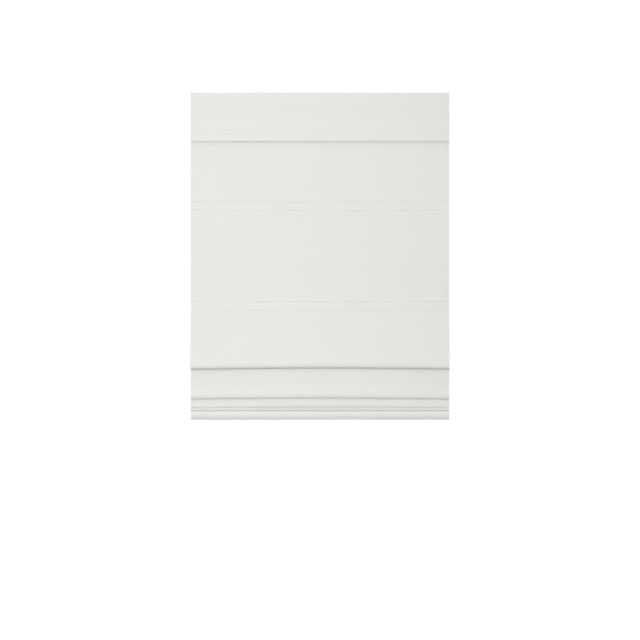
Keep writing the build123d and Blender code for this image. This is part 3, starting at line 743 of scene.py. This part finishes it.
def curved_cord(name, points):
    """A tube on one smooth curve through the rail or round the spool, turned into a mesh."""
    curve = bpy.data.curves.new(name, "CURVE")
    curve.dimensions = "3D"
    spline = curve.splines.new("NURBS")
    spline.points.add(len(points) - 1)
    for point, place in zip(spline.points, points):
        point.co = (*place, 1)
    spline.order_u = 3
    spline.use_endpoint_u = True
    curve.bevel_depth = cord_radius
    curve.bevel_resolution = 3
    curve.resolution_u = 4
    curve.use_fill_caps = True
    line = new_piece(name, curve)
    seen_now = bpy.context.evaluated_depsgraph_get()
    mesh = bpy.data.meshes.new_from_object(line.evaluated_get(seen_now))
    bpy.data.objects.remove(line)
    mesh.shade_smooth()
    return new_piece(name, mesh)


# %% Draw the turns on a spool and the knot
winding_radius = 9.0 * MM
winding_height = 15.4 * MM
WINDING_TURNS = 10
POINTS_PER_TURN = 12
knot_radius = 1.05 * MM
knot_gap = 0.7 * MM
knot_height = 2.2 * MM
bead_bore = 2 * MM
KNOT_TURNS = 2.5
KNOT_STEPS = 30


def wound_points(axle_x, side, top, low):
    """Turns on the spool from the top down, which leave it in front towards the guide."""
    steps = WINDING_TURNS * POINTS_PER_TURN
    points = []
    for i in range(steps + 1):
        share = i / steps
        angle = -math.pi / 2 - side * 2 * math.pi * WINDING_TURNS * (1 - share)
        points.append((axle_x + winding_radius * math.cos(angle),
                       winding_radius * math.sin(angle), top + (low - top) * share))
    return points


def knot_points(x, start, bead):
    """Down through the bead, and round itself under it."""
    points = [(x, cord_y, start), (x, cord_y, bead + bead_bore), (x, cord_y, bead)]
    for i in range(KNOT_STEPS + 1):
        angle = 2 * math.pi * KNOT_TURNS * i / KNOT_STEPS
        points.append((x + knot_radius * math.cos(angle), cord_y + knot_radius * math.sin(angle),
                       bead - knot_gap - knot_height * i / KNOT_STEPS))
    return points


# %% Lead the cords from the spools to the knots
spool_exit = 20 * MM
guide_near = 30 * MM
guide_turn = 8 * MM
ring_heights = [sum(corner.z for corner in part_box(f"batten_{n}")) / 2 for n in range(1, 6)]
bead_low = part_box("cord_beads")[0].z
stops = [rail_floor_under, *ring_heights]
cord_pieces = []
for side, name in ((-1, "left"), (1, "right")):
    axle_x = sum(corner.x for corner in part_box(f"cord_spool_{name}")) / 2
    x = sum(corner.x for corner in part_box(f"cord_guide_{name}")) / 2
    cord_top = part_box(f"lift_cord_{name}")[1].z
    top, low = cord_top - cord_radius, cord_top - winding_height + cord_radius
    run = wound_points(axle_x, side, top, low)
    run += [(axle_x + side * spool_exit, cord_y, low),
            (x - side * guide_near, cord_y, cord_height),
            (x - side * guide_turn, cord_y, cord_height), (x, cord_y, cord_height),
            (x, cord_y, cord_height - guide_turn), (x, cord_y, rail_floor_under)]
    inside = curved_cord(f"cord_run_{name}", run)
    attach(inside, "headrail")
    parts = [inside]
    for n in range(5):
        drop = straight_cord(f"cord_drop_{name}_{n + 1}", x, stops[n], stops[n + 1])
        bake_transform(drop)
        parts.append(drop)
    tied = curved_cord(f"cord_knot_{name}", knot_points(x, ring_heights[4], bead_low))
    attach(tied, "hem")
    parts.append(tied)
    for part in parts:
        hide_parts(f"lift_cord_{name}")
    cord_pieces += parts
print("cord pieces:", len(cord_pieces))

# %% [markdown]
# ## Hook-and-loop tape
# Both cloths are held by tape: a woven strip with loops on the cloth, a strip with hooks on the
# rail. The two layers and the pile between them show at the top edge, so the strip's section has a
# groove where they meet, and its edges wander a little like cut webbing.

# %% Make the tape
TAPE_STEPS = 180
TAPE_NOISE = (160, 9, 4)
fray_depth = 0.12 * MM
# The section, once round, as shares of the tape's depth and height.
TAPE_SECTION = [
    (0.0, 0.06), (0.0, 0.94), (0.12, 1.0), (0.36, 1.0), (0.5, 0.955), (0.64, 1.0), (0.88, 1.0),
    (1.0, 0.94), (1.0, 0.06), (0.88, 0.0), (0.64, 0.0), (0.5, 0.045), (0.36, 0.0), (0.12, 0.0),
]


def tape_strip(name, node):
    """A strip in the place of the plain one, with a grooved section."""
    low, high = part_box(node)
    length, depth, height = (high[i] - low[i] for i in range(3))
    vertices = []
    for i in range(TAPE_STEPS + 1):
        x = low.x + length * i / TAPE_STEPS
        for share_y, share_z in TAPE_SECTION:
            layer = share_z * TAPE_NOISE[2]
            fray = abs(fray_depth * uneven(x, share_y, (*TAPE_NOISE[:2], layer)))
            inward = math.copysign(fray, 0.5 - share_z) if share_z in (0.0, 1.0) else 0.0
            vertices.append((x, low.y + share_y * depth, low.z + share_z * height + inward))
    strip = new_piece(name, new_mesh(name, vertices, tube_faces(TAPE_STEPS + 1, len(TAPE_SECTION))))
    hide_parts(node)
    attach(strip, "headrail")
    return strip


tapes = [tape_strip("shade_hook_tape", "shade_tape"),
         tape_strip("valance_hook_tape", "valance_tape")]

# %% [markdown]
# ## Finishes: cloth
# The cloth is a matte ivory plain weave. The weave is two sets of fine ridges, one across and one
# along, that take turns over each other like a chequer. It reads the cloth's cut pattern, kept in
# the mesh, so that it stays square to the yarn round every fold. Slubs, the thicker stretches of
# yarn, run across. Colour varies by a percent or two, never more, because new cloth is even.

# %% Node helpers
def set_values(node, values):
    """Gives the node's sockets these values."""
    for key, value in values.items():
        node.inputs[key].default_value = value


def material(name, colour, roughness, metallic=0.0, specular=0.5):
    """A material whose even values sit on the shader's own sockets."""
    made = bpy.data.materials.new(name)
    made.use_nodes = True
    made.diffuse_color = (*colour, 1)
    shader = made.node_tree.nodes["Principled BSDF"]
    set_values(shader, {"Base Color": (*colour, 1), "Roughness": roughness,
                        "Metallic": metallic, "Specular IOR Level": specular})
    return made, made.node_tree, shader


def add_node(tree, kind, values=None, **settings):
    """A node with its settings and the values of its sockets."""
    made = tree.nodes.new(kind)
    for key, value in settings.items():
        setattr(made, key, value)
    set_values(made, values or {})
    return made


def noise_at(tree, place, values):
    """Soft noise, read at this place."""
    made = add_node(tree, "ShaderNodeTexNoise", values)
    tree.links.new(place, made.inputs["Vector"])
    return made.outputs["Fac"]


def stretched(tree, place, scale):
    """The same place, scaled by a different amount along each axis."""
    made = add_node(tree, "ShaderNodeMapping", {"Scale": scale})
    tree.links.new(place, made.inputs["Vector"])
    return made.outputs["Vector"]


def mix_colours(tree, share, first, second):
    """A mix of two colours by a socket that holds the share."""
    mix = add_node(tree, "ShaderNodeMix", {6: (*first, 1), 7: (*second, 1)}, data_type="RGBA")
    tree.links.new(share, mix.inputs[0])
    return mix.outputs[2]


def bump_from(tree, shader, heights):
    """One bump after another. A height is (socket, strength, depth in metres)."""
    normal = None
    for socket, strength, depth in heights:
        bump = add_node(tree, "ShaderNodeBump", {"Strength": strength, "Distance": depth})
        tree.links.new(socket, bump.inputs["Height"])
        if normal:
            tree.links.new(normal, bump.inputs["Normal"])
        normal = bump.outputs["Normal"]
    tree.links.new(normal, shader.inputs["Normal"])


# %% The woven cloth
yarn_pitch = 0.5 * MM
weave_depth = 0.12 * MM
slub_depth = 0.15 * MM
# A wave texture has one ridge in a tenth of pi, divided by its scale.
WAVE_PERIOD = math.pi / 10
SLUB_STRETCH = (40, 900, 40)
CLOTH_ROUGHNESS = 0.92


def woven(name, light, dark, source="cut"):
    """A plain weave. source is the mesh's cut pattern, or object for a piece without one."""
    made, tree, shader = material(name, light, CLOTH_ROUGHNESS, specular=0.25)
    set_values(shader, {"Sheen Weight": 0.08, "Sheen Roughness": 0.6})
    if source == "cut":
        place = add_node(tree, "ShaderNodeUVMap", uv_map="cut").outputs["UV"]
    else:
        place = add_node(tree, "ShaderNodeTexCoord").outputs["Object"]
    ridges = []
    for direction in ("X", "Y"):
        wave = add_node(tree, "ShaderNodeTexWave",
                        {"Scale": WAVE_PERIOD / yarn_pitch, "Distortion": 0.6, "Detail": 1.0,
                         "Detail Scale": 0.02}, wave_type="BANDS", bands_direction=direction)
        tree.links.new(place, wave.inputs["Vector"])
        ridges.append(wave.outputs["Fac"])
    checks = add_node(tree, "ShaderNodeTexChecker", {"Scale": 1 / yarn_pitch})
    tree.links.new(place, checks.inputs["Vector"])
    weave = add_node(tree, "ShaderNodeMix", data_type="FLOAT")
    tree.links.new(checks.outputs["Fac"], weave.inputs[0])
    tree.links.new(ridges[0], weave.inputs[2])
    tree.links.new(ridges[1], weave.inputs[3])
    slub = noise_at(tree, stretched(tree, place, SLUB_STRETCH),
                    {"Scale": 1.0, "Detail": 3.0, "Roughness": 0.55})
    cloudy = noise_at(tree, place, {"Scale": 9.0, "Detail": 4.0, "Roughness": 0.6})
    tone = add_node(tree, "ShaderNodeMath", operation="ADD", use_clamp=True)
    for i, socket in enumerate((slub, cloudy)):
        half = add_node(tree, "ShaderNodeMath", {1: 0.5}, operation="MULTIPLY")
        tree.links.new(socket, half.inputs[0])
        tree.links.new(half.outputs[0], tone.inputs[i])
    tree.links.new(mix_colours(tree, tone.outputs[0], dark, light), shader.inputs["Base Color"])
    bump_from(tree, shader, [(weave.outputs[0], 0.25, weave_depth), (slub, 0.2, slub_depth)])
    return made


# %% The colours of the woven pieces
ivory = ((0.811, 0.803, 0.765), (0.771, 0.763, 0.725))
face_cloth = woven("ivory_plain_weave", *ivory)
valance_weave = woven("ivory_valance_weave", *ivory)
pocket_weave = woven("ivory_pocket_lining", (0.78, 0.77, 0.735), (0.73, 0.72, 0.685))
thread = woven("sewing_thread", (0.74, 0.725, 0.685), (0.66, 0.645, 0.605), source="object")
cord_braid = woven("white_braid", (0.80, 0.80, 0.79), (0.66, 0.66, 0.65), source="object")
tape_pile = woven("white_hook_and_loop", (0.78, 0.78, 0.77), (0.60, 0.60, 0.59), source="object")


# %% Dress the new pieces
def dress(piece, finish):
    """Gives a new piece its finish."""
    piece.data.materials.clear()
    piece.data.materials.append(finish)


for piece in [panel_1, panel_2, *fold_pieces, tail]:
    dress(piece, face_cloth)
dress(valance, valance_weave)
for number in range(1, 6):
    dress(bpy.data.objects[f"pocket_strip_{number}"], pocket_weave)
for rows in seam_rows:
    dress(rows, thread)
for part in cord_pieces:
    dress(part, cord_braid)
for strip in tapes:
    dress(strip, tape_pile)

# %% [markdown]
# ## Finishes: hard parts
# The rail and the bar are powder coated, which leaves a fine orange peel. The brackets and pins are
# bright zinc-plated steel, with a fine grain and faint blotches. The mouldings are white nylon and
# acetal, smooth with a slight waviness, and the cord rings are clear.

# %% Hard finishes
def hard(name, light, dark, roughness, metallic=0.0, grain=600.0, relief=0.02,
         stretch=(1, 1, 1), cloud=14.0, spread=0.08):
    """A hard finish: two close tones in soft clouds, uneven gloss, and a fine grain.

    relief is the depth of the grain in millimetres.
    """
    made, tree, shader = material(name, light, roughness, metallic)
    place = add_node(tree, "ShaderNodeTexCoord").outputs["Object"]
    clouds = noise_at(tree, place, {"Scale": cloud, "Detail": 5.0, "Roughness": 0.6})
    tree.links.new(mix_colours(tree, clouds, dark, light), shader.inputs["Base Color"])
    gloss = add_node(tree, "ShaderNodeMapRange",
                     {"To Min": roughness - spread, "To Max": roughness + spread})
    tree.links.new(clouds, gloss.inputs["Value"])
    tree.links.new(gloss.outputs["Result"], shader.inputs["Roughness"])
    fine = noise_at(tree, stretched(tree, place, stretch), {"Scale": grain, "Detail": 2.0})
    bump_from(tree, shader, [(fine, 0.3, relief * MM)])
    return made


# %% Mix the hard finishes
# A row: slot, finish, light tone, dark tone, roughness, and what else differs.
hard_rows = [
    ("rail", "white_powder_coat", (0.80, 0.80, 0.785), (0.76, 0.76, 0.745), 0.42,
     {"grain": 700, "relief": 0.05}),
    ("bar_steel", "white_bar_coat", (0.72, 0.72, 0.705), (0.66, 0.66, 0.645), 0.5,
     {"grain": 500, "relief": 0.05}),
    ("moulded_white", "white_nylon", (0.80, 0.795, 0.775), (0.76, 0.755, 0.735), 0.45,
     {"grain": 300, "relief": 0.03}),
    ("lever_plastic", "grey_lever_nylon", (0.62, 0.62, 0.61), (0.57, 0.57, 0.56), 0.4,
     {"grain": 300, "relief": 0.03}),
    ("motor_plastic", "white_motor_nylon", (0.70, 0.70, 0.685), (0.65, 0.65, 0.635), 0.48,
     {"grain": 350, "relief": 0.04}),
    ("drum_plastic", "natural_acetal", (0.78, 0.775, 0.74), (0.74, 0.735, 0.70), 0.35,
     {"grain": 250}),
    ("bracket_steel", "zinc_plate", (0.62, 0.63, 0.65), (0.50, 0.51, 0.53), 0.34,
     {"metallic": 1.0, "grain": 420, "relief": 0.03, "stretch": (1, 6, 1), "cloud": 60.0}),
    ("pin_steel", "ground_steel", (0.58, 0.58, 0.59), (0.50, 0.50, 0.51), 0.26,
     {"metallic": 1.0, "grain": 900, "stretch": (1, 1, 8), "cloud": 80.0}),
    ("spring_steel", "spring_band_steel", (0.42, 0.44, 0.50), (0.30, 0.31, 0.36), 0.30,
     {"metallic": 1.0, "grain": 800, "stretch": (1, 1, 10), "cloud": 70.0}),
    ("batten_strip", "white_batten_strip", (0.76, 0.76, 0.75), (0.71, 0.71, 0.70), 0.5,
     {"grain": 300, "relief": 0.05, "stretch": (0.1, 1, 1)}),
    ("clear_plastic", "clear_ring", (0.86, 0.87, 0.87), (0.80, 0.81, 0.81), 0.18,
     {"grain": 250, "spread": 0.05}),
]
slot_finishes = {slot: hard(*row, **more) for slot, *row, more in hard_rows}
set_values(slot_finishes["clear_plastic"].node_tree.nodes["Principled BSDF"],
           {"Transmission Weight": 0.75, "IOR": 1.49})

# %% Give every slot of the frame its finish
slot_finishes |= {
    "cloth": face_cloth, "valance_cloth": valance_weave, "pocket_cloth": pocket_weave,
    "hook_tape": tape_pile, "cord": cord_braid,
}
for name, node in frame["nodes"].items():
    for used in node.material_slots:
        slot = used.material.name.split(".")[0] if used.material else None
        finish = slot_finishes.get(slot)
        print(name, slot, "->", finish.name if finish else None)
        if finish:
            used.material = finish

# %% [markdown]
# ## Floor and light
# The blind is shown against white. A pale floor lies well below it. One lamp in front would leave
# the top or the bottom of so tall a sheet darker. So three soft panels stand in front, a little to
# the left, at three heights: together they light the cloth evenly, and the undersides of the folds
# go grey. A weak panel above and a dim sky soften the shadows. One panel behind and one at each
# side light the pockets, the cords and the rail's ends. They stand behind the cloth's plane, so
# they add nothing to its face. White that only the camera sees comes from Light Path, and lights
# nothing.

# %% A floor that the camera sees as white
floor_height = -1.62
floor_half = 2.5
FLOOR_TONE = (0.3, 0.3, 0.3, 1)
WHITE = (1, 1, 1, 1)


def empty_tree(owner):
    """The owner's nodes, with none in it yet."""
    owner.use_nodes = True
    owner.node_tree.nodes.clear()
    return owner.node_tree


floor_corners = [(x * floor_half, y * floor_half, floor_height)
                 for x, y in ((-1, -1), (1, -1), (1, 1), (-1, 1))]
floor = new_piece("floor", new_mesh("floor", floor_corners, [(0, 1, 2, 3)]))
floor_paint = bpy.data.materials.new("pale_floor")
tree = empty_tree(floor_paint)
out = add_node(tree, "ShaderNodeOutputMaterial")
matte = add_node(tree, "ShaderNodeBsdfDiffuse", {"Color": FLOOR_TONE})
glow = add_node(tree, "ShaderNodeEmission", {"Color": WHITE, "Strength": 1.0})
both = add_node(tree, "ShaderNodeAddShader")
seen = add_node(tree, "ShaderNodeLightPath")
pick = add_node(tree, "ShaderNodeMixShader")
tree.links.new(matte.outputs[0], both.inputs[0])
tree.links.new(glow.outputs[0], both.inputs[1])
tree.links.new(seen.outputs["Is Camera Ray"], pick.inputs[0])
tree.links.new(matte.outputs[0], pick.inputs[1])
tree.links.new(both.outputs[0], pick.inputs[2])
tree.links.new(pick.outputs[0], out.inputs["Surface"])
floor.data.materials.append(floor_paint)

# %% A dim sky behind a white one
SKY_LOW, SKY_HIGH = 0.0, 0.18
SKY_TONE = (1, 0.995, 0.985, 1)
world = bpy.data.worlds.new("white_room")
bpy.context.scene.world = world
tree = empty_tree(world)
out = add_node(tree, "ShaderNodeOutputWorld")
direction = add_node(tree, "ShaderNodeTexCoord")
parts = add_node(tree, "ShaderNodeSeparateXYZ")
level = add_node(tree, "ShaderNodeMapRange",
                 {"From Min": -0.4, "From Max": 0.9, "To Min": SKY_LOW, "To Max": SKY_HIGH})
sky = add_node(tree, "ShaderNodeBackground", {"Color": SKY_TONE})
white = add_node(tree, "ShaderNodeBackground", {"Color": WHITE, "Strength": 1.0})
seen = add_node(tree, "ShaderNodeLightPath")
direct = add_node(tree, "ShaderNodeMath", operation="MAXIMUM")
any_view = add_node(tree, "ShaderNodeMath", operation="MAXIMUM")
pick = add_node(tree, "ShaderNodeMixShader")
tree.links.new(direction.outputs["Generated"], parts.inputs[0])
tree.links.new(parts.outputs["Z"], level.inputs["Value"])
tree.links.new(level.outputs["Result"], sky.inputs["Strength"])
tree.links.new(seen.outputs["Is Camera Ray"], direct.inputs[0])
tree.links.new(seen.outputs["Is Glossy Ray"], direct.inputs[1])
tree.links.new(direct.outputs[0], any_view.inputs[0])
tree.links.new(seen.outputs["Is Transmission Ray"], any_view.inputs[1])
tree.links.new(any_view.outputs[0], pick.inputs[0])
tree.links.new(sky.outputs[0], pick.inputs[1])
tree.links.new(white.outputs[0], pick.inputs[2])
tree.links.new(pick.outputs[0], out.inputs["Surface"])

# %% Soft panels of light
blind_middle = Vector((0, -0.02, -0.47))


def soft_panel(name, place, size, power):
    """A square light, this many metres wide, that faces the blind."""
    lamp = bpy.data.lights.new(name, "AREA")
    lamp.shape = "SQUARE"
    lamp.size = size
    lamp.energy = power
    holder = new_piece(name, lamp)
    holder.location = place
    holder.rotation_euler = (blind_middle - Vector(place)).to_track_quat("-Z", "Y").to_euler()
    holder.visible_camera = False


soft_panel("low_front_panel", (-0.5, -3.4, -1.10), 1.3, 47)
soft_panel("front_panel", (-0.5, -3.4, -0.10), 0.8, 43)
soft_panel("high_front_panel", (-0.5, -3.2, 0.90), 1.0, 12)
soft_panel("top_panel", (-0.3, -1.5, 1.55), 1.5, 9)
soft_panel("rear_panel", (0.7, 3.0, 0.2), 2.0, 42)
soft_panel("left_side_panel", (-2.6, 1.7, -0.2), 1.4, 28)
soft_panel("right_side_panel", (2.6, 1.7, -0.2), 1.4, 28)

# %% [markdown]
# ## The camera
# The picture looks straight at the blind from far away, level with a point below its middle, so the
# lens is long. Its distance follows from how many millimetres one pixel covers at the cloth.

# %% Place the camera
picture_width = 640
blind_left_pixel, blind_right_pixel = 191.0, 449.0
rail_top_pixel = 92.6
lens_mm, sensor_mm = 150, 36
metres_per_pixel = cloth_width / (blind_right_pixel - blind_left_pixel)
camera_height = -(picture_width / 2 - rail_top_pixel) * metres_per_pixel
camera_data = bpy.data.cameras.new("camera")
camera_data.lens = lens_mm
camera_data.sensor_width = sensor_mm
camera_distance = picture_width * metres_per_pixel * lens_mm / sensor_mm
camera = new_piece("camera", camera_data)
camera.location = (0, column - camera_distance, camera_height)
camera.rotation_euler = (math.radians(90), 0, 0)
bpy.context.scene.camera = camera
bpy.context.scene.view_settings.view_transform = "Standard"
print("camera", round(camera_distance, 3), "m away,", round(metres_per_pixel / MM, 3),
      "mm a pixel")
